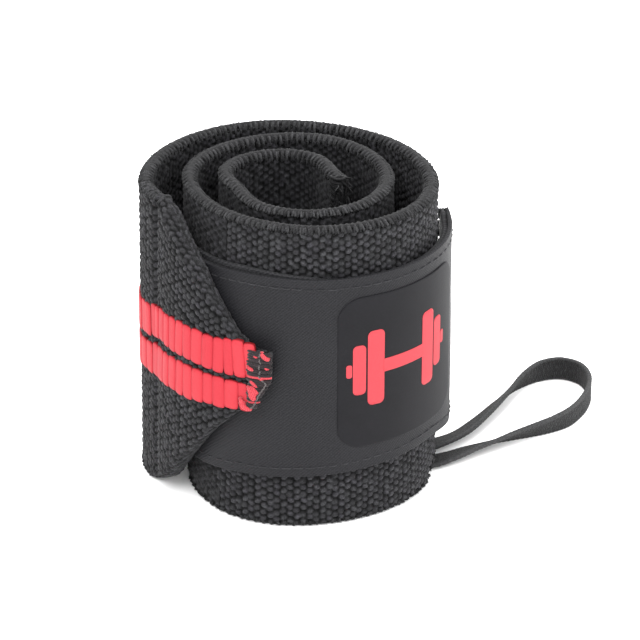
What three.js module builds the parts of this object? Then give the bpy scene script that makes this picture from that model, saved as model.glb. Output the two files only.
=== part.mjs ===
import * as THREE from 'three';
import { mergeVertices } from 'three/addons/utils/BufferGeometryUtils.js';

// Wrist wrap, rolled up and standing on its edge. Millimetres, +Z up.
// The roll's axis is vertical. Angles are in degrees, counter-clockwise from above,
// 0 at the right (+X), 270 at the front (-Y), and go on past 360 for each turn.

// ---- driving dimensions ----
const BAND_HEIGHT = 76.2; // 3 inch elastic
const BAND_THICKNESS = 3.2;
const BAND_EDGE = 1.0; // height of the rounded selvedge
const BAND_EDGE_INSET = 0.45; // how much each selvedge thins on a side
const GAP = 0.3; // between pieces that lie on each other
const FACE_THICKNESS = 1.1; // smooth outer layer of the closure strip
const HOOK_THICKNESS = 1.0; // inner layer of the closure strip
const STRIP_LOW = 14.4;
const STRIP_HIGH = 64.6;
const HOOK_OVERHANG = 0.9; // the inner layer's top edge stands above the outer one's
const PATCH_THICKNESS = 0.4;
const TACK_THICKNESS = 0.9;
const STRAP_WIDTH = 6.2;
const STRAP_THICKNESS = 1.1;
const ARCH_HEIGHT = 2.9; // lift of the band's lower edge over the loop's two ends
const ARCH_Y = 2.2;

// ---- the roll: middle of the band's thickness at its upper edge, and how much wider
// ---- the turn is at its lower edge ----
const ROLL = [
  // angle, radius, flare
  [-20, 12.3, 0.5], [25, 10.6, 0.4], [70, 13.5, 0.2], [115, 15.2, 0.2], [160, 15.7, 0.3],
  [205, 13.1, 0.5], [250, 16.9, 0.9], [295, 20.4, 1.4], [340, 22.2, 1.7], [385, 22.9, 1.3],
  [430, 24.1, 0.0], [475, 23.5, -1.3], [520, 23.7, -2.2], [565, 22.9, 1.3], [610, 24.9, 4.0],
  [655, 29.5, 1.1], [700, 32.9, 0.4], [745, 31.9, 1.6], [790, 31.0, 2.2], [835, 32.1, 1.8],
  [880, 33.1, 0.9], [925, 33.8, -0.6], [970, 34.1, 0.0], [1015, 34.0, 0.0],
].map(([angle, radius, flare]) => ({ angle, radius, flare }));
const ROLL_START = -2.5;
const ROLL_END = 983.5;

// ---- the pointed outer end: the band's lower and upper edge, its thickness, and the
// ---- thickness of the two corners folded under behind it ----
const POINT = [
  // angle, low, high, thickness, fold
  [906, 0.0, 76.2, 3.2, 1.8], [914, 0.2, 76.2, 3.2, 1.8], [922, 2.4, 76.2, 3.1, 1.8],
  [928, 4.4, 75.6, 3.1, 1.8], [932, 5.9, 72.9, 3.0, 1.8], [940, 11.0, 68.7, 3.0, 1.7],
  [950, 18.2, 63.8, 2.9, 1.6], [960, 25.5, 57.0, 2.7, 1.3], [970, 31.3, 50.2, 2.5, 0.9],
  [977, 33.5, 47.9, 2.4, 0.6], [983.5, 40.8, 47.6, 2.4, 0.6],
].map(([angle, low, high, thickness, fold]) => ({ angle, low, high, thickness, fold }));
const FOLD_START = 922;
const FOLD_END = 973;
const POINT_LEAVES = 903; // from here the end settles onto the closure strip
const POINT_LIES = 925;

// ---- the closure strip: how far it stands off the turn below, and how far its lower
// ---- edge dips ----
const STRIP = [
  // angle, lift, dip
  [566, 0.0, 2.2], [590, 0.0, 1.4], [610, 0.0, 0.2], [630, 0.0, -0.2], [650, 0.0, -0.6],
  [673, 0.0, -1.3], [686, 0.0, -1.8], [693, 0.05, -1.9], [698, 0.1, -1.6], [702, 0.18, -1.1],
  [706, 0.3, -0.5], [710, 0.45, 0.2], [714, 0.6, 0.9], [720, 0.78, 1.3], [727, 0.95, 1.3], [731, 1.25, 1.3],
].map(([angle, lift, dip]) => ({ angle, lift, dip }));

const PATCH = { angle0: 648.5, angle1: 709, low: 21.2, high: 59.6, corner: 5.5 };
const TACK = { angle0: 973.2, angle1: 982.6, rise: 0.6 };

// ---- the thumb loop's centre line, with the direction of the strap's width ----
const LOOP = [
  // x, y, z, lean: 0 is flat with the width across the way it runs, 90 is on its edge
  [16.1, 2.2, 13.5, 0, 1], [16.1, 2.2, 6.0, 0, 1], [16.5, 2.2, 3.0, 0, 1], [18.4, 2.2, 1.99, 0, 1],
  [22.0, 2.2, 1.97, 0, 0], [27.5, 2.9, 1.97, 0, 0], [32.5, 4.6, 1.97, 4, 0], [36.5, 6.6, 1.95, 16, 0],
  [41.8, 11.0, 1.95, 25, 0], [47.0, 18.0, 2.3, 35, 0], [52.4, 26.9, 2.7, 46, 0], [57.9, 36.0, 3.1, 66, 0],
  [63.3, 41.4, 3.15, 84, 0], [68.4, 42.9, 3.15, 90, 0], [73.0, 40.3, 3.15, 90, 0], [75.0, 34.0, 3.15, 90, 0],
  [73.6, 26.0, 3.15, 88, 0], [69.1, 17.6, 3.15, 80, 0], [63.9, 13.2, 3.1, 66, 0], [58.8, 10.6, 2.85, 55, 0],
  [53.8, 8.4, 2.5, 44, 0], [48.8, 6.0, 2.1, 32, 0], [43.9, 3.3, 1.85, 24, 0], [38.9, 0.4, 1.4, 15, 0],
  [34.0, -1.1, 0.8, 4, 0], [29.0, 0.2, 0.57, 0, 0], [24.0, 2.0, 0.57, 0, 0], [19.0, 2.2, 0.57, 0, 0],
  [16.4, 2.2, 0.62, 0, 1], [14.85, 2.2, 1.9, 0, 1], [14.65, 2.2, 5.0, 0, 1], [14.65, 2.2, 13.5, 0, 1],
].map(([x, y, z, lean, tail]) => ({ x, y, z, lean, tail }));
const LOOP_STEPS = 104;

// ---- helpers ----
const rad = THREE.MathUtils.degToRad;
const mix = THREE.MathUtils.lerp;
const clamp = THREE.MathUtils.clamp;

// Smooth value of one column of a table whose angles are evenly spaced.
function smoothColumn(table, column) {
  const spline = new THREE.SplineCurve(table.map((row) => new THREE.Vector2(row.angle, row[column])));
  const first = table[0].angle;
  const span = table[table.length - 1].angle - first;
  return (angle) => spline.getPoint(clamp((angle - first) / span, 0, 1)).y;
}

// Value of one column of any table, straight between its rows.
function column(table, name, angle) {
  if (angle <= table[0].angle) return table[0][name];
  for (let i = 1; i < table.length; i += 1) {
    const a = table[i - 1];
    const b = table[i];
    if (angle <= b.angle) return mix(a[name], b[name], (angle - a.angle) / (b.angle - a.angle));
  }
  return table[table.length - 1][name];
}

const rollRadius = smoothColumn(ROLL, 'radius');
const rollFlare = smoothColumn(ROLL, 'flare');

const hookMiddle = BAND_THICKNESS / 2 + GAP + HOOK_THICKNESS / 2;
const faceMiddle = hookMiddle + HOOK_THICKNESS / 2 + GAP + FACE_THICKNESS / 2;
const bandThickness = (angle) => (angle < POINT[0].angle ? BAND_THICKNESS : column(POINT, 'thickness', angle));
const foldThickness = (angle) => column(POINT, 'fold', angle);

// Middle of the band's thickness at an angle and a height: a free spiral up to the end,
// which lies on the closure strip of the turn below, over its own folded corners.
function bandRadius(angle, z) {
  const free = rollRadius(angle) + rollFlare(angle) * (1 - z / BAND_HEIGHT);
  if (angle <= POINT_LEAVES) return free;
  const lying = bandRadius(angle - 360, z) + faceMiddle + FACE_THICKNESS / 2
    + GAP + foldThickness(angle) + GAP + bandThickness(angle) / 2;
  return mix(free, lying, THREE.MathUtils.smoothstep(angle, POINT_LEAVES, POINT_LIES));
}

// A box bent round the roll's axis. radius(angle, z) is its middle surface.
function bentSlab({ angle0, angle1, steps, rows, radius, low, high, thickness, edge, inset }) {
  const box = new THREE.BoxGeometry(1, 1, 1, steps, 1, rows);
  box.deleteAttribute('normal');
  box.deleteAttribute('uv');
  const geometry = mergeVertices(box, 1e-5);
  const position = geometry.getAttribute('position');
  const point = (angle, z) => {
    const r = radius(angle, z);
    return new THREE.Vector2(r * Math.cos(rad(angle)), r * Math.sin(rad(angle)));
  };
  for (let i = 0; i < position.count; i += 1) {
    const angle = mix(angle0, angle1, position.getX(i) + 0.5);
    const row = Math.round((position.getZ(i) + 0.5) * rows);
    const bottom = low(angle);
    const top = high(angle);
    let z;
    if (row === 0) z = bottom;
    else if (row === rows) z = top;
    else z = mix(bottom + edge, top - edge, (row - 1) / (rows - 2));
    const half = thickness(angle) / 2 - (row === 0 || row === rows ? inset : 0);
    const side = -2 * position.getY(i) * half;
    const here = point(angle, z);
    const ahead = point(angle + 0.5, z).sub(point(angle - 0.5, z)).normalize();
    position.setXYZ(i, here.x + ahead.y * side, here.y - ahead.x * side, z);
  }
  return geometry;
}

function meshOf(name, geometry, color, roughness) {
  const material = new THREE.MeshStandardMaterial({ color, roughness, metalness: 0 });
  const mesh = new THREE.Mesh(geometry, material);
  mesh.name = name;
  return mesh;
}

// ---- elastic band: the long knitted strip, wound in a loose spiral, with a pointed end ----
function archLift(angle) {
  const turn = angle - ROLL_START;
  if (turn < 300) return 0;
  const r = bandRadius(angle, 0);
  const x = r * Math.cos(rad(angle));
  const y = r * Math.sin(rad(angle));
  if (x < 0) return 0;
  const halfWidth = 4.6 + Math.max(0, x - 24) * 0.42;
  const past = Math.abs(y - ARCH_Y) - halfWidth;
  return ARCH_HEIGHT * (1 - THREE.MathUtils.smoothstep(past, 0, 5.5));
}

const bandGeometry = bentSlab({
  angle0: ROLL_START,
  angle1: ROLL_END,
  steps: 150,
  rows: 8,
  radius: bandRadius,
  low: (angle) => (angle < POINT[0].angle ? archLift(angle) : column(POINT, 'low', angle)),
  high: (angle) => (angle < POINT[0].angle ? BAND_HEIGHT : column(POINT, 'high', angle)),
  thickness: bandThickness,
  edge: BAND_EDGE,
  inset: BAND_EDGE_INSET,
});

// ---- tip fold: the end's two corners, folded under behind the point ----
const foldGeometry = bentSlab({
  angle0: FOLD_START,
  angle1: FOLD_END,
  steps: 12,
  rows: 4,
  radius: (angle, z) => bandRadius(angle, z) - bandThickness(angle) / 2 - GAP - foldThickness(angle) / 2,
  low: (angle) => column(POINT, 'low', angle) + 0.8,
  high: (angle) => column(POINT, 'high', angle) - 0.8,
  thickness: foldThickness,
  edge: 0.7,
  inset: 0.3,
});

// ---- closure strip and its inner layer, on the turn below ----
const stripLift = (angle) => column(STRIP, 'lift', angle);
const stripDip = (angle) => column(STRIP, 'dip', angle);
const STRIP_START = STRIP[0].angle;
const STRIP_END = STRIP[STRIP.length - 1].angle;

function stripLayer(offset, thickness, overhang, back) {
  return bentSlab({
    angle0: STRIP_START + back,
    angle1: STRIP_END - back,
    steps: 34,
    rows: 4,
    radius: (angle, z) => bandRadius(angle, z) + offset + stripLift(angle),
    low: (angle) => STRIP_LOW - stripDip(angle) + (overhang ? 0.4 : 0),
    high: (angle) => STRIP_HIGH - 0.5 * Math.max(stripDip(Math.min(angle, 650)), 0) + overhang * clamp((640 - angle) / 30, 0, 1),
    thickness: () => thickness,
    edge: 0.35,
    inset: 0.15,
  });
}
const hookGeometry = stripLayer(hookMiddle, HOOK_THICKNESS, HOOK_OVERHANG, 0.4);
const faceGeometry = stripLayer(faceMiddle, FACE_THICKNESS, 0, 0);

// ---- transfer patch: a thin rounded rectangle on the closure strip ----
function patchInset(angle) {
  const r = 37;
  const from = rad(Math.min(angle - PATCH.angle0, PATCH.angle1 - angle)) * r;
  const d = clamp(PATCH.corner - from, 0, PATCH.corner);
  return PATCH.corner - Math.sqrt(PATCH.corner * PATCH.corner - d * d);
}
const patchGeometry = bentSlab({
  angle0: PATCH.angle0,
  angle1: PATCH.angle1,
  steps: 32,
  rows: 4,
  radius: (angle, z) => bandRadius(angle, z) + faceMiddle + stripLift(angle) + FACE_THICKNESS / 2 + GAP / 2 + PATCH_THICKNESS / 2,
  low: (angle) => PATCH.low + patchInset(angle),
  high: (angle) => PATCH.high - patchInset(angle),
  thickness: () => PATCH_THICKNESS,
  edge: 0.3,
  inset: 0.1,
});

// ---- bar tack: the dense stitching that closes the point ----
const tackGeometry = bentSlab({
  angle0: TACK.angle0,
  angle1: TACK.angle1,
  steps: 4,
  rows: 4,
  radius: (angle, z) => bandRadius(angle, z) + bandThickness(angle) / 2 + GAP + TACK_THICKNESS / 2,
  low: (angle) => column(POINT, 'low', angle) + TACK.rise,
  high: (angle) => column(POINT, 'high', angle) - TACK.rise,
  thickness: () => TACK_THICKNESS,
  edge: 0.4,
  inset: 0.2,
});

// ---- thumb loop: a flat elastic strap, folded in half, whose two ends lie on each other
// ---- under the turns and are sewn up the outside of the band's inner end ----
function loopGeometry() {
  const curve = new THREE.CatmullRomCurve3(LOOP.map((p) => new THREE.Vector3(p.x, p.y, p.z)), false, 'centripetal');
  const last = LOOP.length - 1;
  const at = (u, name) => {
    const k = clamp(u * last, 0, last);
    const i = Math.min(Math.floor(k), last - 1);
    return mix(LOOP[i][name], LOOP[i + 1][name], k - i);
  };
  const box = new THREE.BoxGeometry(1, 1, 1, LOOP_STEPS, 1, 1);
  box.deleteAttribute('normal');
  box.deleteAttribute('uv');
  const geometry = mergeVertices(box, 1e-5);
  const position = geometry.getAttribute('position');
  const up = new THREE.Vector3(0, 0, 1);
  const turn = 14 / last; // past this the strap comes back towards the roll
  for (let i = 0; i < position.count; i += 1) {
    const u = position.getX(i) + 0.5;
    const centre = curve.getPoint(u);
    const along = curve.getTangent(u);
    const flat = new THREE.Vector3().crossVectors(along, up);
    const returning = THREE.MathUtils.smoothstep(u, turn - 0.02, turn + 0.02);
    const lean = rad(at(u, 'lean'));
    const side = flat.lengthSq() < 1e-4 || at(u, 'tail') > 0.5 ? new THREE.Vector3(0, -1, 0) : flat.normalize();
    if (returning > 0.5 && at(u, 'tail') <= 0.5) side.multiplyScalar(-1);
    const width = side.clone().multiplyScalar(Math.cos(lean)).addScaledVector(up, Math.sin(lean));
    width.addScaledVector(along, -width.dot(along)).normalize();
    const normal = new THREE.Vector3().crossVectors(along, width);
    const a = position.getZ(i) * STRAP_WIDTH;
    const b = -position.getY(i) * STRAP_THICKNESS;
    centre.addScaledVector(width, a).addScaledVector(normal, b);
    position.setXYZ(i, centre.x, centre.y, Math.max(centre.z, 0));
  }
  return geometry;
}

// ---- assembly ----
const roll = new THREE.Group();
roll.add(
  meshOf('elastic_band', bandGeometry, 0x3c3c3e, 0.95),
  meshOf('tip_fold', foldGeometry, 0x38383a, 0.95),
  meshOf('closure_strip', faceGeometry, 0x3a3a3d, 0.6),
  meshOf('hook_tape', hookGeometry, 0x242426, 0.85),
  meshOf('transfer_patch', patchGeometry, 0x2b2b2e, 0.7),
  meshOf('bar_tack', tackGeometry, 0x5a2a30, 0.8),
  meshOf('thumb_loop', loopGeometry(), 0x4a4a4c, 0.9),
);

// The part's origin is the bottom centre of its box.
roll.updateMatrixWorld(true);
const bounds = new THREE.Box3().setFromObject(roll, true);
const middle = bounds.getCenter(new THREE.Vector3());
roll.position.set(-middle.x, -middle.y, -bounds.min.z);

const wristWrap = new THREE.Group();
wristWrap.add(roll);

export default wristWrap;
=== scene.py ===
import bpy
import math
import numpy as np
from mathutils import Matrix, Vector


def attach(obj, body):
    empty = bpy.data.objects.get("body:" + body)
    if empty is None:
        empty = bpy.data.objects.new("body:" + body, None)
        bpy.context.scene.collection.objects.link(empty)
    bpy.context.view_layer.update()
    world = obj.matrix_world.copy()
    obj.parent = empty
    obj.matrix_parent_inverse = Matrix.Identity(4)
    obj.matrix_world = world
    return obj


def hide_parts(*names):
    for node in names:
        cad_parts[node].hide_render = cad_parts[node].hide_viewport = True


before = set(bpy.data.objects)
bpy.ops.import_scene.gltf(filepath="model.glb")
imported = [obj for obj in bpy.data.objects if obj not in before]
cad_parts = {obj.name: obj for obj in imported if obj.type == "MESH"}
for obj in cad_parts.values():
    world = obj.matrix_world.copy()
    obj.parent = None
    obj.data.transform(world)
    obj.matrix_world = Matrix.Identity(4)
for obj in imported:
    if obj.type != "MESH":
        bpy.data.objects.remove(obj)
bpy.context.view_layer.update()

# Wrist wrap, rolled up and standing on its edge. Lengths below are millimetres in the roll's
# own frame; to_row() puts them in the row frame, in metres.
SHIFT = np.array([-20.168296813964844, -3.531373977661133, 0.0])
HEIGHT = 76.2
THICK = 3.2
GAP = 0.3
HOOK_MID = 2.4
FACE_MID = 3.75
FACE_THICK = 1.1
STRIP_LOW, STRIP_HIGH = 14.4, 64.6
ROLL_START, ROLL_END = -2.5, 983.5
PITCH_S = 1.42           # knit columns along the band
ROWS = 44
PITCH_Z = HEIGHT / ROWS  # knit rows up the band

rng = np.random.default_rng(7)


def to_row(p):
    return (np.asarray(p, float) + SHIFT) * 0.001


# ---------------------------------------------------------------- the roll's surfaces
ROLL = np.array([
    [-20, 12.3, 0.5], [25, 10.6, 0.4], [70, 13.5, 0.2], [115, 15.2, 0.2], [160, 15.7, 0.3],
    [205, 13.1, 0.5], [250, 16.9, 0.9], [295, 20.4, 1.4], [340, 22.2, 1.7], [385, 22.9, 1.3],
    [430, 24.1, 0.0], [475, 23.5, -1.3], [520, 23.7, -2.2], [565, 22.9, 1.3], [610, 24.9, 4.0],
    [655, 29.5, 1.1], [700, 32.9, 0.4], [745, 31.9, 1.6], [790, 31.0, 2.2], [835, 32.1, 1.8],
    [880, 33.1, 0.9], [925, 33.8, -0.6], [970, 34.1, 0.0], [1015, 34.0, 0.0]])
POINT = np.array([  # angle, low, high, thickness, fold
    [906, 0.0, 76.2, 3.2, 1.8], [914, 0.2, 76.2, 3.2, 1.8], [922, 2.4, 75.7, 3.1, 1.8],
    [928, 4.4, 74.3, 3.1, 1.8], [932, 5.9, 72.2, 3.0, 1.8], [940, 11.0, 68.7, 3.0, 1.7],
    [950, 18.2, 63.8, 2.9, 1.6], [960, 25.5, 57.0, 2.7, 1.3], [970, 31.3, 50.2, 2.5, 0.9],
    [977, 33.5, 47.9, 2.4, 0.6], [983.5, 40.8, 47.6, 2.4, 0.6]])
STRIP = np.array([  # angle, lift, dip
    [566, 0.0, 2.2], [590, 0.0, 1.4], [610, 0.0, 0.2], [630, 0.0, -0.2], [650, 0.0, -0.6],
    [673, 0.0, -1.3], [686, 0.0, -1.8], [693, 0.05, -1.9], [698, 0.1, -1.6], [702, 0.18, -1.1],
    [706, 0.3, -0.5], [710, 0.45, 0.2], [714, 0.6, 0.9], [720, 0.78, 1.3], [727, 0.95, 1.3], [731, 1.25, 1.3]])


def spline(table, col, a):
    n = len(table)
    v = table[:, col]
    p = np.clip((a - table[0, 0]) / (table[-1, 0] - table[0, 0]), 0, 1) * (n - 1)
    i = np.minimum(np.floor(p).astype(int), n - 1)
    w = p - i
    p0, p1 = v[np.maximum(i - 1, 0)], v[i]
    p2, p3 = v[np.minimum(i + 1, n - 1)], v[np.minimum(i + 2, n - 1)]
    v0, v1 = (p2 - p0) / 2, (p3 - p1) / 2
    return (2 * p1 - 2 * p2 + v0 + v1) * w ** 3 + (-3 * p1 + 3 * p2 - 2 * v0 - v1) * w ** 2 + v0 * w + p1


def column(table, col, a):
    return np.interp(a, table[:, 0], table[:, col])


def smooth(x, a, b):
    t = np.clip((x - a) / (b - a), 0, 1)
    return t * t * (3 - 2 * t)


def free_radius(a, z):
    return spline(ROLL, 1, a) + spline(ROLL, 2, a) * (1 - z / HEIGHT)


def band_thick(a):
    return np.where(a < 906, THICK, column(POINT, 3, a))


def band_radius(a, z):
    a, z = np.broadcast_arrays(np.asarray(a, float), np.asarray(z, float))
    free = free_radius(a, z)
    lying = free_radius(a - 360, z) + FACE_MID + FACE_THICK / 2 + GAP + column(POINT, 4, a) + GAP + band_thick(a) / 2
    t = smooth(a, 903, 925)
    return free * (1 - t) + lying * t


def put(a, z, off, radius=band_radius):
    """Points at angles a, heights z, off outward from the middle surface; and the outward normals."""
    a, z, off = np.broadcast_arrays(np.asarray(a, float), np.asarray(z, float), np.asarray(off, float))

    def flat(q):
        r = radius(q, z)
        return r * np.cos(np.radians(q)), r * np.sin(np.radians(q))
    x, y = flat(a)
    xa, ya = flat(a + 0.5)
    xb, yb = flat(a - 0.5)
    tx, ty = xa - xb, ya - yb
    n = np.hypot(tx, ty)
    tx, ty = tx / n, ty / n
    return np.stack([x + ty * off, y - tx * off, z], -1), np.stack([ty, -tx, 0 * tx], -1), np.stack([tx, ty, 0 * tx], -1)


# length along the band against angle
_a = np.arange(ROLL_START, ROLL_END + 6.01, 0.25)
_r = band_radius(_a, 40.0)
_x, _y = _r * np.cos(np.radians(_a)), _r * np.sin(np.radians(_a))
_s = np.concatenate([[0], np.cumsum(np.hypot(np.diff(_x), np.diff(_y)))])


def s_of(a):
    return np.interp(a, _a, _s)


def a_of(s):
    return np.interp(s, _s, _a)


def arch_lift(a):
    r = band_radius(a, 0.0)
    x, y = r * np.cos(np.radians(a)), r * np.sin(np.radians(a))
    past = np.abs(y - 2.2) - (4.6 + np.maximum(0, x - 24) * 0.42)
    up = 2.9 * (1 - smooth(past, 0, 5.5))
    return np.where((a - ROLL_START < 300) | (x < 0), 0, up)


def band_low(a):
    return np.where(a < 906, arch_lift(a), column(POINT, 1, a))


def band_high(a):
    return np.where(a < 906, HEIGHT, column(POINT, 2, a))


# ---------------------------------------------------------------- mesh helpers
def mesh_object(name, verts, faces, material, tone=None, uv=None, flat_shade=False):
    """verts Nx3 in the roll frame. faces Mx3 or Mx4 integers."""
    mesh = bpy.data.meshes.new(name)
    verts = to_row(verts)
    faces = np.asarray(faces, np.int32)
    m, k = faces.shape
    mesh.vertices.add(len(verts))
    mesh.vertices.foreach_set("co", verts.astype(np.float32).ravel())
    mesh.loops.add(m * k)
    mesh.loops.foreach_set("vertex_index", faces.ravel())
    mesh.polygons.add(m)
    mesh.polygons.foreach_set("loop_start", np.arange(0, m * k, k, dtype=np.int32))
    mesh.polygons.foreach_set("use_smooth", np.full(m, not flat_shade))
    if tone is not None:
        layer = mesh.attributes.new("tone", "FLOAT_COLOR", "POINT")
        rgba = np.ones((len(verts), 4), np.float32)
        rgba[:, :tone.shape[1]] = tone
        layer.data.foreach_set("color", rgba.ravel())
    if uv is not None:
        layer = mesh.uv_layers.new(name="weave")
        layer.data.foreach_set("uv", np.asarray(uv, np.float32)[faces.ravel()].ravel())
    mesh.update(calc_edges=True)
    mesh.validate()
    obj = bpy.data.objects.new(name, mesh)
    bpy.context.scene.collection.objects.link(obj)
    mesh.materials.append(material)
    return obj


def weld(verts, faces, *extra):
    key = np.round(verts * 1e4).astype(np.int64)
    _, first, inverse = np.unique(key, axis=0, return_index=True, return_inverse=True)
    inverse = inverse.ravel()
    f = inverse[faces]
    ok = (f[:, 0] != f[:, 1]) & (f[:, 1] != f[:, 2]) & (f[:, 2] != f[:, 0])
    return (verts[first], f[ok], *[e[first] for e in extra])


def quads(n, m, base=0, flip=False):
    """Triangles of a grid of n by m points."""
    i, j = np.meshgrid(np.arange(n - 1), np.arange(m - 1), indexing="ij")
    a = base + i * m + j
    b, c, d = a + m, a + m + 1, a + 1
    swap = ((i + j) & 1).astype(bool)
    t1 = np.where(swap[..., None], np.stack([a, b, c], -1), np.stack([a, b, d], -1)).reshape(-1, 3)
    t2 = np.where(swap[..., None], np.stack([a, c, d], -1), np.stack([b, c, d], -1)).reshape(-1, 3)
    t = np.concatenate([t1, t2])
    return t[:, ::-1] if flip else t


def slab(a, z_rows, low, high, radius, half, bump_out=None, bump_in=None, edge=1.2, cap_round=0.0, middle=None, flat_side=None, conform=False):
    """A closed sheet of cloth: columns at angles a, rows at heights z_rows cut off by its lower and upper edge.
    bump_out and bump_in are functions of (column index, row index, heights) giving (relief, tone)."""
    n, m = len(a), len(z_rows)
    lo, hi = low(a)[:, None], high(a)[:, None]
    s = s_of(a)
    slope_lo = np.gradient(lo[:, 0], s)[:, None]
    slope_hi = np.gradient(hi[:, 0], s)[:, None]
    q_lo, q_hi = np.sqrt(1 + slope_lo ** 2), np.sqrt(1 + slope_hi ** 2)
    if conform:      # rows follow the slanted edges, close together round them
        near_edge = np.array([0, 0.01, 0.04, 0.09, 0.16, 0.25, 0.36, 0.5, 0.66, 0.85, 1.05, 1.3, 1.6])[None, :]
        fit_lo = np.minimum(1.0, 0.42 * (hi - lo) / (1.6 * q_lo)) * q_lo
        fit_hi = np.minimum(1.0, 0.42 * (hi - lo) / (1.6 * q_hi)) * q_hi
        z_a, z_b = lo + near_edge * fit_lo, hi - near_edge[:, ::-1] * fit_hi
        part = np.linspace(0, 1, m - 2 * near_edge.shape[1] + 2)[None, 1:-1]
        z = np.concatenate([z_a, z_a[:, -1:] + (z_b[:, :1] - z_a[:, -1:]) * part, z_b], axis=1)
    else:
        z = np.clip(z_rows[None, :], lo, hi)
    d = np.minimum((z - lo) / q_lo, (hi - z) / q_hi)
    e = np.minimum(edge, np.maximum((hi - lo) / 2.2, 0.05))
    f = np.sqrt(np.clip(1 - np.clip((e - d) / e, 0, 1) ** 2, 0, 1))
    if cap_round:
        near = np.minimum(s - s[0], s[-1] - s)[:, None]
        f = f * np.sqrt(np.clip(1 - np.clip((cap_round - near) / cap_round, 0, 1) ** 2, 0.04, 1))
    h = half(a)[:, None] * np.ones_like(z)
    upper = (hi - z) < (z - lo)
    z_knit = z
    turn_in = np.zeros_like(z)
    if conform:      # the knit goes on round the folded edge
        phi = np.arccos(np.clip((e - d) / e, 0, 1))
        tt = np.linspace(0, 1, 9)
        pp = phi[..., None] + (np.pi / 2 - phi[..., None]) * tt
        arc = np.trapz(np.sqrt((e[..., None] * np.sin(pp)) ** 2 + (h[..., None] * np.cos(pp)) ** 2), tt, axis=-1) * (np.pi / 2 - phi)
        z_knit = np.where(d >= e, z, np.where(upper, hi - e * q_hi + arc * q_hi, lo + e * q_lo - arc * q_lo))
        turn_in = np.cos(phi) * smooth(d, 0, 0.05) * np.where(upper, 1.0, -1.0) * (d < e)
    out_relief, out_tone = bump_out(z_knit) if bump_out else (np.zeros_like(z), np.ones(z.shape + (3,)) * 0.5)
    in_relief, in_tone = bump_in(z_knit) if bump_in else (np.zeros_like(z), np.ones(z.shape + (3,)) * 0.5)
    aa = a[:, None] * np.ones_like(z)
    # middle is where the edges meet, off the radius; flat_side is how far each column's inner side (share > 0)
    # or outer side (share < 0) is drawn to that middle
    calm = smooth(d, -0.02, 0.06) if conform else smooth(d, 0.05, 0.95)
    run_lo = np.concatenate([[0], np.cumsum(np.sqrt(1 + slope_lo[1:, 0] ** 2) * np.diff(s))])[:, None]
    run_hi = np.concatenate([[0], np.cumsum(np.sqrt(1 + slope_hi[1:, 0] ** 2) * np.diff(s))])[:, None]
    run = np.where(upper, run_hi, run_lo + 40)
    wave = np.sin(2 * np.pi * run / 1.45 + 1.6 * noise1(run, 77, 3.0)) * (0.7 + 0.5 * noise1(run, 78, 2.2))
    out_relief = -0.16 + (out_relief + 0.16) * calm + (0.0 if conform else 0.20) * wave * (1 - smooth(d, 0.05, 1.3))
    in_relief = -0.16 + (in_relief + 0.16) * calm
    rimmed = (smooth(d, -0.05, 0.03) if conform else smooth(d, 0.15, 1.15))[..., None]
    # near the edges the tone's first channel follows the wave that ripples the rim: painted highlight on its crests
    # and painted shade between them
    plain = np.stack([np.clip(0.44 + 0.42 * wave, 0, 1), np.full_like(z, 0.45), np.full_like(z, 0.5)], -1)
    out_tone = plain + (out_tone - plain) * rimmed
    in_tone = plain + (in_tone - plain) * rimmed
    mid = (middle(a) if middle else np.zeros_like(a))[:, None]
    share = (flat_side(a) if flat_side else np.zeros_like(a))[:, None]
    out_off = mid + f * (h + out_relief) * (1 - np.clip(-share, 0, 1)) - 0.03 * np.clip(-share, 0, 1) * f
    in_off = mid - f * (h + in_relief) * (1 - np.clip(share, 0, 1)) + 0.03 * np.clip(share, 0, 1) * f
    outer, _, _ = put(aa, z + turn_in * out_relief, out_off, radius)
    inner, _, _ = put(aa, z + turn_in * in_relief, in_off, radius)
    verts = np.concatenate([outer.reshape(-1, 3), inner.reshape(-1, 3)])
    tone = np.concatenate([out_tone.reshape(-1, 3), in_tone.reshape(-1, 3)])
    uv = np.stack([np.repeat(s, m), z.ravel()], -1)
    uv = np.concatenate([uv, uv])
    j = np.arange(m - 1)
    ends = []
    for row, turn in ((0, False), (n - 1, True)):
        p, q = row * m + j, row * m + j + 1
        u, v = p + n * m, q + n * m
        t = np.concatenate([np.stack([p, q, v], -1), np.stack([p, v, u], -1)])
        ends.append(t[:, ::-1] if turn else t)
    faces = np.concatenate([quads(n, m), quads(n, m, n * m, True), *ends])
    return weld(verts, faces, tone, uv)


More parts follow.
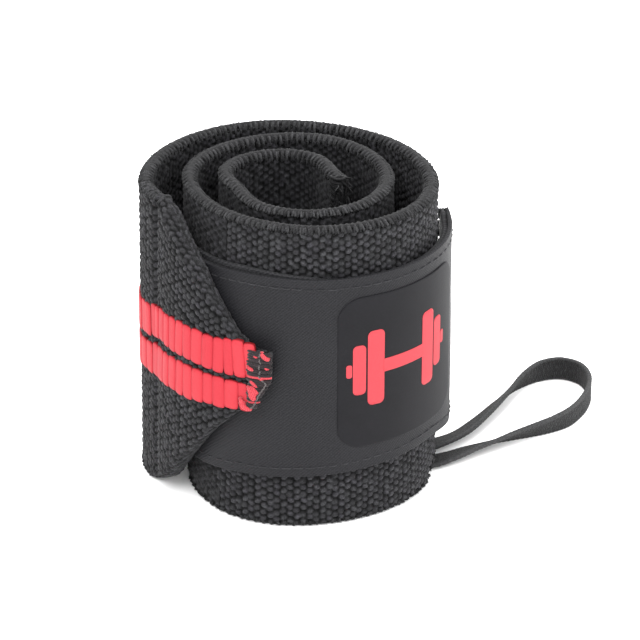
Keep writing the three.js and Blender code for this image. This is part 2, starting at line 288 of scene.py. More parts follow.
def tubes(paths, sides=6, squash=1.0):
    """One mesh of many closed threads. paths: list of (points Nx3, radius or radii, tone of three numbers)."""
    verts, faces, tones, uvs, base = [], [], [], [], 0
    ang = np.linspace(0, 2 * np.pi, sides, endpoint=False)
    for pts, rad, tone in paths:
        pts = np.asarray(pts, float)
        n = len(pts)
        rad = np.broadcast_to(np.asarray(rad, float), (n,))
        t = np.gradient(pts, axis=0)
        t /= np.linalg.norm(t, axis=1)[:, None] + 1e-12
        ref = np.array([0, 0, 1.0]) if abs(t[:, 2]).mean() < 0.8 else np.array([math.sin(pts[0, 0]), math.cos(pts[0, 0]), 0])
        u = np.cross(t, ref)
        u /= np.linalg.norm(u, axis=1)[:, None] + 1e-12
        w = np.cross(t, u)
        ring = pts[:, None, :] + rad[:, None, None] * (np.cos(ang)[None, :, None] * u[:, None, :] + np.sin(ang)[None, :, None] * w[:, None, :] * squash)
        verts.append(ring.reshape(-1, 3))
        verts.append(np.stack([pts[0] - t[0] * rad[0] * 0.5, pts[-1] + t[-1] * rad[-1] * 0.5]))
        run = np.concatenate([[0], np.cumsum(np.linalg.norm(np.diff(pts, axis=0), axis=1))])
        uvs.append(np.stack([np.repeat(run, sides), np.tile(ang, n)], -1))
        uvs.append(np.array([[0, 0], [run[-1], 0]]))
        i, j = np.meshgrid(np.arange(n - 1), np.arange(sides), indexing="ij")
        a = base + i * sides + j
        b = base + i * sides + (j + 1) % sides
        c, d = b + sides, a + sides
        faces.append(np.concatenate([np.stack([a, b, c], -1).reshape(-1, 3), np.stack([a, c, d], -1).reshape(-1, 3)]))
        k = np.arange(sides)
        s0, s1 = base + n * sides, base + n * sides + 1
        last = base + (n - 1) * sides
        faces.append(np.stack([np.full(sides, s0), base + (k + 1) % sides, base + k], -1))
        faces.append(np.stack([np.full(sides, s1), last + k, last + (k + 1) % sides], -1))
        tones.append(np.tile(np.asarray(tone, float), (n * sides + 2, 1)))
        base += n * sides + 2
    return np.concatenate(verts), np.concatenate(faces), np.concatenate(tones), np.concatenate(uvs)


def noise1(x, seed, scale):
    g = np.random.default_rng(seed).normal(size=4096)
    t = np.asarray(x) / scale + 700
    i = np.floor(t).astype(int)
    w = t - i
    w = w * w * (3 - 2 * w)
    return g[i % 4096] * (1 - w) + g[(i + 1) % 4096] * w


def cell_random(i, j, seed):
    h = (i.astype(np.int64) * 73856093) ^ (j.astype(np.int64) * 19349663) ^ (seed * 83492791)
    h = (h ^ (h >> 13)) * 1274126177 & 0x7FFFFFFF
    h = (h ^ (h >> 16)) * 2246822519 & 0x7FFFFFFF
    return ((h ^ (h >> 11)) & 0xFFFF) / 65535.0


# ---------------------------------------------------------------- materials
def new_material(name):
    m = bpy.data.materials.new(name)
    m.use_nodes = True
    m.node_tree.nodes.clear()
    return m, m.node_tree.nodes, m.node_tree.links


DIM = 0.54   # the lamps are this much stronger than a plain white floor needs


def dim(c):
    return tuple(DIM * x for x in c)


def shader(nodes, links, rough, specular=0.5, sheen=0.0, sheen_rough=0.5, tint=(1, 1, 1, 1)):
    out = nodes.new("ShaderNodeOutputMaterial")
    b = nodes.new("ShaderNodeBsdfPrincipled")
    b.inputs["Roughness"].default_value = rough
    b.inputs["Specular IOR Level"].default_value = specular * DIM
    b.inputs["Sheen Weight"].default_value = sheen * DIM
    b.inputs["Sheen Roughness"].default_value = sheen_rough
    b.inputs["Sheen Tint"].default_value = tint
    links.new(b.outputs[0], out.inputs[0])
    return b


def math_node(nodes, links, op, a, b=None, c=None):
    n = nodes.new("ShaderNodeMath")
    n.operation = op
    for i, v in enumerate((a, b, c)):
        if v is None:
            continue
        if isinstance(v, (int, float)):
            n.inputs[i].default_value = v
        else:
            links.new(v, n.inputs[i])
    return n.outputs[0]


def noise(nodes, links, vector, scale, detail=3.0, rough=0.6):
    n = nodes.new("ShaderNodeTexNoise")
    n.inputs["Scale"].default_value = scale
    n.inputs["Detail"].default_value = detail
    n.inputs["Roughness"].default_value = rough
    links.new(vector, n.inputs["Vector"])
    return n.outputs[0]


def ramp(nodes, links, fac, stops):
    r = nodes.new("ShaderNodeValToRGB")
    el = r.color_ramp.elements
    while len(el) > 1:
        el.remove(el[0])
    el[0].position, el[0].color = stops[0][0], (*stops[0][1], 1)
    for p, c in stops[1:]:
        e = el.new(p)
        e.color = (*c, 1)
    links.new(fac, r.inputs[0])
    return r.outputs[0]


def mixed(nodes, links, mode, fac, a, b):
    n = nodes.new("ShaderNodeMix")
    n.data_type = "RGBA"
    n.blend_type = mode
    for sock, v in ((n.inputs[0], fac), (n.inputs[6], a), (n.inputs[7], b)):
        if isinstance(v, (int, float)):
            sock.default_value = v
        elif isinstance(v, tuple):
            sock.default_value = (*v, 1)
        else:
            links.new(v, sock)
    return n.outputs[2]


def bump(nodes, links, height, distance, strength=1.0):
    n = nodes.new("ShaderNodeBump")
    n.inputs["Distance"].default_value = distance
    n.inputs["Strength"].default_value = strength
    links.new(height, n.inputs["Height"])
    return n.outputs[0]


def knit_material(name, dark, light, rough=0.7, sheen=0.06):
    """Knitted elastic: painted shade in the gaps between the stitches, yarn fibres, a slight cast from stitch to
    stitch.
    """
    dark, light = dim(dark), dim(light)
    m, nodes, links = new_material(name)
    b = shader(nodes, links, rough, 0.22, sheen, 0.45)
    at = nodes.new("ShaderNodeAttribute")
    at.attribute_name = "tone"
    sep = nodes.new("ShaderNodeSeparateColor")
    links.new(at.outputs["Color"], sep.inputs[0])
    co = nodes.new("ShaderNodeTexCoord").outputs["Object"]
    fibres = noise(nodes, links, co, 2600.0, 3.0, 0.65)
    # the tone's first channel runs from the dark colour, painted shade in the gaps between the stitches, to the light
    # colour on their crowns
    body = ramp(nodes, links, sep.outputs[0], [(0.0, dark), (0.45, tuple(0.30 * l + 0.70 * d for l, d in zip(light, dark))), (1.0, light)])
    cast = ramp(nodes, links, sep.outputs[2], [(0.0, (0.98, 1.01, 0.99)), (0.5, (1, 1, 1)), (1.0, (1.0, 0.99, 1.04))])
    body = mixed(nodes, links, "MULTIPLY", 1.0, body, cast)
    vary = math_node(nodes, links, "MULTIPLY_ADD", sep.outputs[1], 0.9, 0.55)
    grain = math_node(nodes, links, "MULTIPLY_ADD", fibres, 2.6, -0.30)
    both = math_node(nodes, links, "MULTIPLY", vary, grain)
    comb = nodes.new("ShaderNodeCombineColor")
    for i in range(3):
        links.new(both, comb.inputs[i])
    body = mixed(nodes, links, "MULTIPLY", 1.0, body, comb.outputs[0])
    links.new(body, b.inputs["Base Color"])
    links.new(bump(nodes, links, fibres, 0.00032, 0.9), b.inputs["Normal"])
    return m


def weave_coords(nodes, links):
    uv = nodes.new("ShaderNodeUVMap")
    uv.uv_map = "weave"
    sep = nodes.new("ShaderNodeSeparateXYZ")
    links.new(uv.outputs[0], sep.inputs[0])
    return uv.outputs[0], sep.outputs[0], sep.outputs[1]


def sine(nodes, links, value, pitch):
    return math_node(nodes, links, "SINE", math_node(nodes, links, "MULTIPLY", value, 2 * math.pi / pitch))


def twill_material(name, colour, light, rough=0.5, pitch=0.56, depth=0.00006, sheen=0.35, contrast=1.0):
    """Fine diagonal twill with a slight gloss."""
    colour, light = dim(colour), dim(light)
    m, nodes, links = new_material(name)
    b = shader(nodes, links, rough, 0.22, sheen, 0.4)
    uv, u, v = weave_coords(nodes, links)
    wob = math_node(nodes, links, "MULTIPLY", noise(nodes, links, uv, 0.35, 2.0), 0.5)
    diag = math_node(nodes, links, "ADD", math_node(nodes, links, "MULTIPLY", u, 0.71), math_node(nodes, links, "MULTIPLY", v, -0.71))
    diag = math_node(nodes, links, "ADD", diag, wob)
    across = math_node(nodes, links, "ADD", math_node(nodes, links, "MULTIPLY", u, 0.71), math_node(nodes, links, "MULTIPLY", v, 0.71))
    s1 = math_node(nodes, links, "MULTIPLY_ADD", sine(nodes, links, diag, pitch), 0.5, 0.5)
    s2 = math_node(nodes, links, "MULTIPLY_ADD", sine(nodes, links, across, pitch * 0.9), 0.5, 0.5)
    cell = math_node(nodes, links, "MULTIPLY", s1, math_node(nodes, links, "MULTIPLY_ADD", s2, 0.6, 0.4))
    speck = noise(nodes, links, uv, 2.6, 2.0, 0.7)
    val = math_node(nodes, links, "MULTIPLY_ADD", cell, 0.22 * contrast, math_node(nodes, links, "MULTIPLY_ADD", speck, 1.7, -0.38))
    cloud = noise(nodes, links, uv, 0.06, 3.0, 0.55)
    val = math_node(nodes, links, "ADD", val, math_node(nodes, links, "MULTIPLY_ADD", cloud, 0.3, -0.15))
    links.new(ramp(nodes, links, val, [(0.1, colour), (1.0, light)]), b.inputs["Base Color"])
    links.new(bump(nodes, links, math_node(nodes, links, "ADD", cell, math_node(nodes, links, "MULTIPLY", speck, 0.8)), depth, 0.8), b.inputs["Normal"])
    return m


def thread_material(name, colour, light, rough=0.6, sheen=0.2, twist=0.35):
    """Sewing thread: plies twisted round each other."""
    colour, light = dim(colour), dim(light)
    m, nodes, links = new_material(name)
    b = shader(nodes, links, rough, 0.25, sheen, 0.4)
    uv, u, v = weave_coords(nodes, links)
    ph = math_node(nodes, links, "ADD", math_node(nodes, links, "MULTIPLY", u, 2 * math.pi / twist), v)
    ply = math_node(nodes, links, "MULTIPLY_ADD", math_node(nodes, links, "SINE", ph), 0.5, 0.5)
    co = nodes.new("ShaderNodeTexCoord").outputs["Object"]
    fib = noise(nodes, links, co, 2200.0, 2.0)
    at = nodes.new("ShaderNodeAttribute")
    at.attribute_name = "tone"
    val = math_node(nodes, links, "MULTIPLY_ADD", fib, 0.6, math_node(nodes, links, "MULTIPLY", ply, 0.5))
    body = ramp(nodes, links, val, [(0.15, colour), (0.95, light)])
    links.new(mixed(nodes, links, "MULTIPLY", 1.0, body, at.outputs["Color"]), b.inputs["Base Color"])
    links.new(bump(nodes, links, ply, 0.00008, 0.7), b.inputs["Normal"])
    return m


# the knit materials' dark colours are the painted shade between the stitches
M_KNIT = knit_material("knit_charcoal", (0.0003, 0.0003, 0.0005), (0.0400, 0.0393, 0.0435))
M_EDGE = knit_material("knit_edge", (0.0006, 0.0006, 0.0008), (0.056, 0.0563, 0.059), 0.75, 0.08)
M_TWILL = twill_material("twill_charcoal", (0.0035, 0.0035, 0.0045), (0.0232, 0.0228, 0.0262), 0.55, sheen=0.03, contrast=2.6)
M_HOOK = twill_material("hook_tape_black", (0.004, 0.004, 0.005), (0.050, 0.050, 0.054), 0.6, 0.8, 0.00012, 0.06, 1.3)
M_STITCH = thread_material("thread_charcoal", (0.010, 0.010, 0.012), (0.052, 0.052, 0.056), sheen=0.05)


def patch_material():
    m, nodes, links = new_material("patch_satin")
    b = shader(nodes, links, 0.6, 0.20, 0.02, 0.5)
    uv, u, v = weave_coords(nodes, links)
    fine = noise(nodes, links, uv, 1.6, 3.0, 0.7)
    cloud = noise(nodes, links, uv, 0.09, 3.0, 0.6)
    val = math_node(nodes, links, "MULTIPLY_ADD", fine, 0.5, math_node(nodes, links, "MULTIPLY", cloud, 0.5))
    links.new(ramp(nodes, links, val, [(0.25, dim((0.0055, 0.0052, 0.0068))), (0.8, dim((0.0125, 0.012, 0.015)))]), b.inputs["Base Color"])
    links.new(bump(nodes, links, fine, 0.00004, 0.6), b.inputs["Normal"])
    return m


def coral_material(name, deep, mid, pale, fine=0.00005, sheen=0.0, rough=0.55):
    m, nodes, links = new_material(name)
    b = shader(nodes, links, rough, 0.2, sheen, 0.4)
    uv, u, v = weave_coords(nodes, links)
    at = nodes.new("ShaderNodeAttribute")
    at.attribute_name = "tone"
    sep = nodes.new("ShaderNodeSeparateColor")
    links.new(at.outputs["Color"], sep.inputs[0])
    co = nodes.new("ShaderNodeTexCoord").outputs["Object"]
    fib = noise(nodes, links, co, 1800.0, 3.0, 0.6)
    val = math_node(nodes, links, "MULTIPLY_ADD", fib, 0.35, math_node(nodes, links, "MULTIPLY_ADD", sep.outputs[0], 0.9, -0.16))
    body = ramp(nodes, links, val, [(0.0, dim(deep)), (0.45, dim(mid)), (1.0, dim(pale))])
    vary = ramp(nodes, links, sep.outputs[1], [(0.0, (0.95, 0.86, 0.86)), (1.0, (1.03, 1.1, 1.02))])
    links.new(mixed(nodes, links, "MULTIPLY", 1.0, body, vary), b.inputs["Base Color"])
    links.new(bump(nodes, links, fib, fine, 0.7), b.inputs["Normal"])
    return m


M_PATCH = patch_material()
# stripe_coral's deep colour is the painted shade between the ribs
M_STRIPE = coral_material("stripe_coral", (0.14, 0.002, 0.003), (0.53, 0.029, 0.045), (0.62, 0.049, 0.068), 0.00009)
M_PRINT = coral_material("print_coral", (0.54, 0.040, 0.052), (0.62, 0.062, 0.080), (0.66, 0.080, 0.100), 0.00002)


def finish_piece(obj, node):
    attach(obj, "root")
    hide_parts(node)
    return obj


# ---------------------------------------------------------------- elastic band
def knit_relief(cols, k, seed, depth_out=0.20, depth_in=-0.62, rim=False, shade=0.0):
    """Rounded stitches in upright columns, every other column half a stitch lower, so that they interlock."""
    def relief(z):
        s = cols[:, None] / k * np.ones_like(z)
        t = z / PITCH_Z
        best = np.zeros_like(z)
        top = np.zeros_like(z)
        r1 = np.full_like(z, 0.5)
        r2 = np.full_like(z, 0.5)
        c0 = np.floor(s + 1e-6).astype(int)
        for dc in (-1, 0, 1):
            c = c0 + dc
            shift = 0.5 * (c & 1)
            for dr in (-1, 0, 1):
                r = np.floor(t - shift + 1e-6).astype(int) + dr
                ja, jb = cell_random(c, r, seed), cell_random(c, r, seed + 5)
                du = s - (c + 0.5 + 0.27 * (ja - 0.5))
                dv = t - (r + shift + 0.5 + 0.27 * (jb - 0.5))
                dv = dv + np.where(c & 1, 0.22, -0.22) * du * (0.3 + ja)
                q = np.abs(du / 0.63) ** 2.2 + np.abs(dv / 0.485) ** 2.2
                h = np.sqrt(np.clip(1 - q, 0, 1)) * (0.78 + 0.22 * cell_random(c, r, seed + 7))
                new = h > best
                best = np.where(new, h, best)
                top = np.where(new, np.clip(1 - q, 0, 1), top)
                r1 = np.where(new, ja, r1)
                r2 = np.where(new, jb, r2)
        relief_ = depth_in + (depth_out - depth_in) * best
        if rim:      # the body stands back under the yarn that goes over the selvedge, and painted shade darkens its stitches there
            far = smooth(np.minimum(z, HEIGHT - z), 0.3, 1.3)
            relief_ = relief_ - 0.30 * (1 - far)
            top = top * (0.12 + 0.88 * far)
        # first channel: painted shade, dark between the stitches and light on their crowns; second: random brightness
        # per stitch, lowered by shade; third: random cast
        tone = np.stack([smooth(top, 0.05, 0.80), np.maximum(0.12 + 0.76 * r1 - shade, 0.0), r2], -1)
        return relief_, tone
    return relief


def point_share(a):
    """0 on the plain band, 1 where its two corners are folded under behind it."""
    return smooth(np.asarray(a, float), 917, 931) * (1 - smooth(np.asarray(a, float), 974, 980))


def point_half(a):
    return band_thick(a) / 2 + point_share(a) * (GAP + column(POINT, 4, a)) / 2


def point_middle(a):
    return -point_share(a) * (GAP + column(POINT, 4, a)) / 2 + crease(a)


def crease(a):
    """The soft upright crease where the folded layer starts."""
    return -1.0 * np.exp(-((np.asarray(a, float) - 919.6) / 1.25) ** 2) + 0.25 * smooth(a, 921, 926) * (1 - smooth(a, 930, 950))


def band_piece(name, a0, a1, quality, seed=1):
    k, k_up = quality
    step = PITCH_S / k
    i0, i1 = int(round(s_of(a0) / PITCH_S)) * k, int(round(s_of(a1) / PITCH_S)) * k
    if a1 >= ROLL_END:
        i1 = int(round(s_of(a1) / step))
    if a0 <= ROLL_START:
        i0 = 0
    cols = np.arange(i0, i1 + 1)
    s = cols * step
    a = a_of(np.minimum(s, s_of(ROLL_END)))
    if a1 >= ROLL_END:
        keep = s <= s_of(ROLL_END) + 1e-6
        cols, a = cols[keep], a[keep]
    body = np.arange(0, ROWS * k_up + 1) * (PITCH_Z / k_up)
    edge = np.array([0.03, 0.12, 0.5, 0.85])
    # the point is pulled flat by its stitching, so its knit stands out less; shade=0.20 darkens its stitches, painted
    # shade for the shade their lower relief no longer casts
    depths = dict(depth_out=0.16, depth_in=-0.55, shade=0.20) if name == "band_point" else dict(rim=True)
    rows = np.unique(np.round(np.concatenate([body, edge, HEIGHT - edge]), 4))
    v, f, tone, uv = slab(a, rows, band_low, band_high, band_radius, point_half,
                          knit_relief(cols, k, seed, **depths), knit_relief(cols, k, seed + 40, **depths), edge=1.6,
                          middle=point_middle, flat_side=lambda q: smooth(q, 914, 923), conform=name == "band_point")
    obj = finish_piece(mesh_object(name, v, f, M_KNIT, tone, uv), "elastic_band")
    return obj


SPLITS = [ROLL_START, 325, 596, 752, 905, ROLL_END]
NAMES = ["band_inner_turn", "band_middle_turn", "band_front", "band_back", "band_point"]
QUALITY = [(3, 2), (3, 2), (4, 4), (3, 3), (5, 5)]   # points to a stitch, along and up
for nm, b0, b1, kk in zip(NAMES, SPLITS[:-1], SPLITS[1:], QUALITY):
    band_piece(nm, b0, b1, kk)


# loops of yarn over the upper and lower selvedge
def selvedge(name, top, a_from, a_to, pitch, seed):
    g = np.random.default_rng(seed)
    paths = []
    s = s_of(a_from) + 0.4
    end = s_of(a_to) - 0.4
    k = 0
    while s < end:
        a = float(a_of(s + (0.07, -0.07, 0.0)[k % 3]))
        edge = float((band_high if top else band_low)(np.array([a]))[0])
        sign = 1 if top else -1
        da = math.degrees(g.normal(0, 0.10) / max(float(band_radius(a, 40.0)), 5))
        lean = math.degrees((0.24, -0.24, 0.0)[k % 3] / max(float(band_radius(a, 40.0)), 5)) * (1 if top else -1)
        notch = k % 3 == 2
        reach_out = (0.20 if notch else 0.85) + g.uniform(-0.2, 0.35)
        reach_in = (0.10 if notch else 1.7) + g.uniform(-0.1, 0.5)
        sink = 0.36 + (0.58 if notch else 0.0) + g.uniform(-0.07, 0.07)
        half = float(point_half(a)) if top else THICK / 2
        prof = [(half - 0.10, reach_out), (half + 0.02, reach_out * 0.6), (half - 0.12, 0.62), (half - 0.55, 0.18),
                (0.45, -0.02), (-0.45, -0.02), (-half + 0.55, 0.18), (-half + 0.12, 0.62), (-half - 0.02, reach_in * 0.6), (-half + 0.10, reach_in)]
        off = np.array([p[0] for p in prof])
        z = edge - sign * (np.array([p[1] for p in prof]) + sink)
        aa = a + da + lean * np.linspace(-1, 1, len(prof))
        pts, _, _ = put(aa, z, off + (float(point_middle(a)) if top else 0.0))
        r = ((0.20 if notch else 0.31) + g.uniform(-0.04, 0.04)) * np.array([0.7, 0.95, 1, 1, 1, 1, 1, 1, 0.95, 0.7])
        # notch loops, sunk deeper, are painted near black: painted shade in the V notches between the loops
        v = 0.08 * g.random() if notch else 0.45 + 0.40 * g.random()
        paths.append((pts, r, (v, 0.3 + 0.4 * g.random(), 0.3 + 0.4 * g.random())))
        s += pitch * (1 + g.normal(0, 0.09))
        k += 1
    v, f, tone, uv = tubes(paths, 5)
    return finish_piece(mesh_object(name, v, f, M_EDGE, tone, uv), "elastic_band")


selvedge("selvedge_upper", True, ROLL_START, 923.5, 0.475, 11)
selvedge("selvedge_lower", False, 560, 914, 0.56, 12)


# tip's folded corners, meeting the point's outer layer along the folded edges
fold_cols = np.arange(int(s_of(922.5) / (PITCH_S / 3)), int(s_of(973) / (PITCH_S / 3)) + 1)
fold_a = a_of(fold_cols * PITCH_S / 3)
fv, ff, ft, fu = slab(fold_a, np.arange(0, ROWS * 3 + 1) * (PITCH_Z / 3), lambda q: column(POINT, 1, q), lambda q: column(POINT, 2, q),
                      band_radius, point_half, knit_relief(fold_cols, 3, 61), knit_relief(fold_cols, 3, 62), edge=1.6,
                      middle=lambda q: point_middle(q) - 0.02, flat_side=lambda q: np.full_like(q, -1.0), conform=True)
fold_obj = finish_piece(mesh_object("tip_corners", fv, ff, M_KNIT, ft, fu), "tip_fold")


# ---------------------------------------------------------------- woven coral stripes
def edge_line(points):
    p = np.array(points, float)
    return lambda a: np.interp(a, p[:, 0], p[:, 1])


UP_TOP = edge_line([(731, 48.2), (905, 46.4), (915, 47.3), (925, 48.7), (942, 49.4), (962, 49.2), (973, 50.2), (977, 48.3)])
UP_BOT = edge_line([(731, 40.2), (905, 38.6), (915, 39.4), (925, 40.9), (942, 41.0), (953, 41.4), (963, 40.8), (977, 40.6)])
LO_TOP = edge_line([(731, 38.4), (905, 36.6), (911, 36.9), (925, 38.7), (942, 39.5), (954, 39.6), (963, 39.5), (974, 39.1)])
LO_BOT = edge_line([(731, 30.2), (905, 29.2), (911, 29.5), (925, 30.2), (943, 31.2), (954, 31.9), (963, 32.0), (975, 32.6)])


def stripe(name, top, bottom, a_from, a_to, seed):
    """Upright ribs side by side, each a rounded bar standing a little proud of the knit."""
    g = np.random.default_rng(seed)
    verts, faces, tones, uvs, base = [], [], [], [], 0
    s = s_of(a_from)
    end = s_of(a_to)
    nu, nv = 9, 9
    while s < end:
        w = 2.85 * (1 + g.normal(0, 0.10))
        mid = s + w / 2
        a = float(a_of(mid))
        hi = float(top(a)) + 0.22 + g.normal(0, 0.14)
        lo = float(bottom(a)) - 0.22 + g.normal(0, 0.14)
        lean = g.normal(0, 0.10) - 0.55 * float(smooth(s, s_of(962), s_of(974)))
        high = 0.62 + g.normal(0, 0.09)
        u = np.sin(np.linspace(-np.pi / 2, np.pi / 2, nu))
        v = np.sin(np.linspace(-np.pi / 2, np.pi / 2, nv))
        uu, vv = np.meshgrid(u, v, indexing="ij")
        wide = 1.10 * (1 - np.abs(vv) ** 9 * 0.22)
        ss = mid + uu * w / 2 * wide + vv * lean
        zz = (hi + lo) / 2 + vv * (hi - lo) / 2 * (1 - 0.05 * uu ** 2)
        dome = np.clip(1 - np.abs(uu) ** 3.6, 0, 1) ** 0.55 * np.clip(1 - np.abs(vv) ** 16, 0, 1) ** 0.5
        base_off = 0.35 * float(crease(a)) + band_thick(a) / 2
        off_out = base_off + 0.16 + dome * (high - 0.30)
        off_in = base_off - 0.75 + 0 * dome
        aa = a_of(ss)
        front, _, _ = put(aa, zz, off_out)
        back, _, _ = put(aa, zz, off_in)
        verts += [front.reshape(-1, 3), back.reshape(-1, 3)]
        # first channel: painted shade, darker down each rib's rounded sides and in the grooves between ribs, lighter
        # on its crown; the back faces get painted shade at 0.3 of that
        t = np.stack([np.clip(0.15 + 0.85 * dome, 0, 1), np.full_like(dome, g.random()), np.zeros_like(dome)], -1).reshape(-1, 3)
        tones += [t, t * 0.3]
        q = np.stack([ss.ravel(), zz.ravel()], -1)
        uvs += [q, q]
        n = nu * nv
        rim = [i * nv for i in range(nu)] + [(nu - 1) * nv + j for j in range(1, nv)] + [i * nv + nv - 1 for i in range(nu - 2, -1, -1)] + [j for j in range(nv - 2, 0, -1)]
        rim = np.array(rim)
        nxt = np.roll(rim, -1)
        faces += [quads(nu, nv, base), quads(nu, nv, base + n, True),
                  np.concatenate([np.stack([base + nxt, base + rim, base + n + rim], -1), np.stack([base + nxt, base + n + rim, base + n + nxt], -1)])]
        base += 2 * n
        s += w
    return finish_piece(mesh_object(name, np.concatenate(verts), np.concatenate(faces), M_STRIPE, np.concatenate(tones), np.concatenate(uvs)), "elastic_band")


stripe("stripe_upper", UP_TOP, UP_BOT, 733, 976.0, 21)
stripe("stripe_lower", LO_TOP, LO_BOT, 733, 972.5, 22)


# ---------------------------------------------------------------- closure strip
def strip_radius(offset):
    return lambda a, z: band_radius(a, z) + offset + column(STRIP, 1, a)


def strip_slab(name, node, offset, thick, low, high, a0, a1, material, step=0.8, seed=3):
    s = np.arange(s_of(a0), s_of(a1) + 1e-6, step)
    s[-1] = s_of(a1)
    a = a_of(s)
    e = np.array([0.0, 0.06, 0.2, 0.4, 0.7])
    rows = np.unique(np.concatenate([np.arange(11, 67.5, 0.9)]))
    def dent(z):
        h = 0.05 * noise1(s, seed, 6.0)[:, None] * np.ones_like(z) + 0.04 * noise1(z + s[:, None] * 0.3, seed + 1, 8.0)
        return h, np.ones(z.shape + (3,)) * 0.5
    n = len(a)
    lo, hi = low(a), high(a)
    frac = np.unique(np.concatenate([np.linspace(0, 1, 58), e / 50, 1 - e / 50]))
    z = lo[:, None] + (hi - lo)[:, None] * frac[None, :]
    m = z.shape[1]
    d = np.minimum(z - lo[:, None], hi[:, None] - z)
    edge = 0.22
    f = np.sqrt(np.clip(1 - np.clip((edge - d) / edge, 0, 1) ** 4, 0, 1))
    fill = (0.27 * smooth(a, 706, 716) * (offset < 3) + 0.0 * a)[:, None]
    near = np.minimum(s - s[0], s[-1] - s)[:, None]
    f = f * np.sqrt(np.clip(1 - np.clip((0.15 - near) / 0.15, 0, 1) ** 2, 0.6, 1))
    r, _ = dent(z)
    aa = a[:, None] * np.ones_like(z)
    outer, _, _ = put(aa, z, f * (thick / 2 + fill) + r * f, strip_radius(offset))
    inner, _, _ = put(aa, z, -f * (thick / 2) + r * f, strip_radius(offset))
    verts = np.concatenate([outer.reshape(-1, 3), inner.reshape(-1, 3)])
    uv = np.stack([np.repeat(s, m), z.ravel()], -1)
    uv = np.concatenate([uv, uv + [0, 200]])
    tone = np.full((len(verts), 3), 0.5)
    j = np.arange(m - 1)
    ends = []
    for row, turn in ((0, False), (n - 1, True)):
        p, q = row * m + j, row * m + j + 1
        u_, v_ = p + n * m, q + n * m
        t = np.concatenate([np.stack([p, q, v_], -1), np.stack([p, v_, u_], -1)])
        ends.append(t[:, ::-1] if turn else t)
    faces = np.concatenate([quads(n, m), quads(n, m, n * m, True), *ends])
    v, f_, tone, uv = weld(verts, faces, tone, uv)
    obj = finish_piece(mesh_object(name, v, f_, material, tone, uv), node)
    return obj


def face_low(a):
    return STRIP_LOW - column(STRIP, 2, a)


def face_high(a):
    return STRIP_HIGH - 0.5 * np.maximum(column(STRIP, 2, np.minimum(a, 650)), 0)


def hook_high(a):
    return face_high(a) + 0.9 * np.clip((640 - a) / 30, 0, 1) - 0.9 * smooth(a, 636, 652) * (1 - smooth(a, 721, 727))


strip_slab("strip_face", "closure_strip", FACE_MID, FACE_THICK, face_low, face_high, 566, 731, M_TWILL)
strip_slab("hook_layer", "hook_tape", HOOK_MID, 1.0, lambda a: face_low(a) + 0.4, hook_high, 566.4, 730.6, M_HOOK, seed=8)


# lines of stitching inside the strip's edges
def stitch_lines():
    g = np.random.default_rng(31)
    paths = []
    surf = strip_radius(FACE_MID)
    for line in (lambda a: face_high(a) - 2.3, lambda a: face_low(a) + 2.3):
        s = s_of(568)
        while s < s_of(729.5):
            t = np.linspace(0, 1, 6)
            ss = s + t * 2.0
            a = a_of(ss)
            z = line(a) + g.normal(0, 0.05)
            off = FACE_THICK / 2 - 0.16 + 0.24 * np.sin(np.pi * t) ** 0.6
            pts, _, _ = put(a, z, off, surf)
            v = 0.9 + 0.5 * g.random()
            paths.append((pts, 0.15, (v, v, v)))
            s += 2.4 * (1 + g.normal(0, 0.04))
    v, f, tone, uv = tubes(paths, 6)
    return finish_piece(mesh_object("strip_stitching", v, f, M_STITCH, tone, uv), "closure_strip")


stitch_lines()


# threads along the strip's cut end
def cut_end():
    g = np.random.default_rng(37)
    paths = []
    surf = strip_radius(0.0)
    for off in (2.0, 2.45, 2.9, 3.35, 3.85, 4.25):
        z = 13.6 + g.uniform(0, 2)
        while z < 64.3:
            ln = g.uniform(1.6, 5.5)
            top = min(z + ln, 64.4 + g.uniform(-0.3, 0.3))
            zz = np.linspace(z, top, 5)
            a = 731.0 + g.uniform(-0.35, 0.25) + 0.12 * np.sin(np.linspace(0, 3, 5) + g.uniform(0, 6))
            pts, _, _ = put(a, zz, off + g.uniform(-0.12, 0.12), surf)
            v = 0.35 + 1.5 * g.random() ** 2
            paths.append((pts, 0.15 + 0.08 * g.random(), (v, v, v)))
            z = top + g.uniform(0.1, 0.9)
    for k in range(16):
        off = g.uniform(1.9, 4.3)
        a = 731.0 - g.uniform(0, 2.6)
        zz = 64.0 + np.array([0, 0.3, 0.55, 0.7]) * g.uniform(0.5, 1.2)
        pts, _, _ = put(a + np.array([0, 0.1, 0.25, 0.4]) * g.uniform(-1, 1), zz, off, surf)
        v = 0.3 + 0.9 * g.random()
        paths.append((pts, 0.15, (v, v, v)))
    v, f, tone, uv = tubes(paths, 5)
    return finish_piece(mesh_object("strip_cut_threads", v, f, M_STITCH, tone, uv), "closure_strip")


cut_end()

# ---------------------------------------------------------------- patch and its print
PATCH = dict(a0=648.5, a1=709.0, low=21.2, high=59.6, corner=5.5)


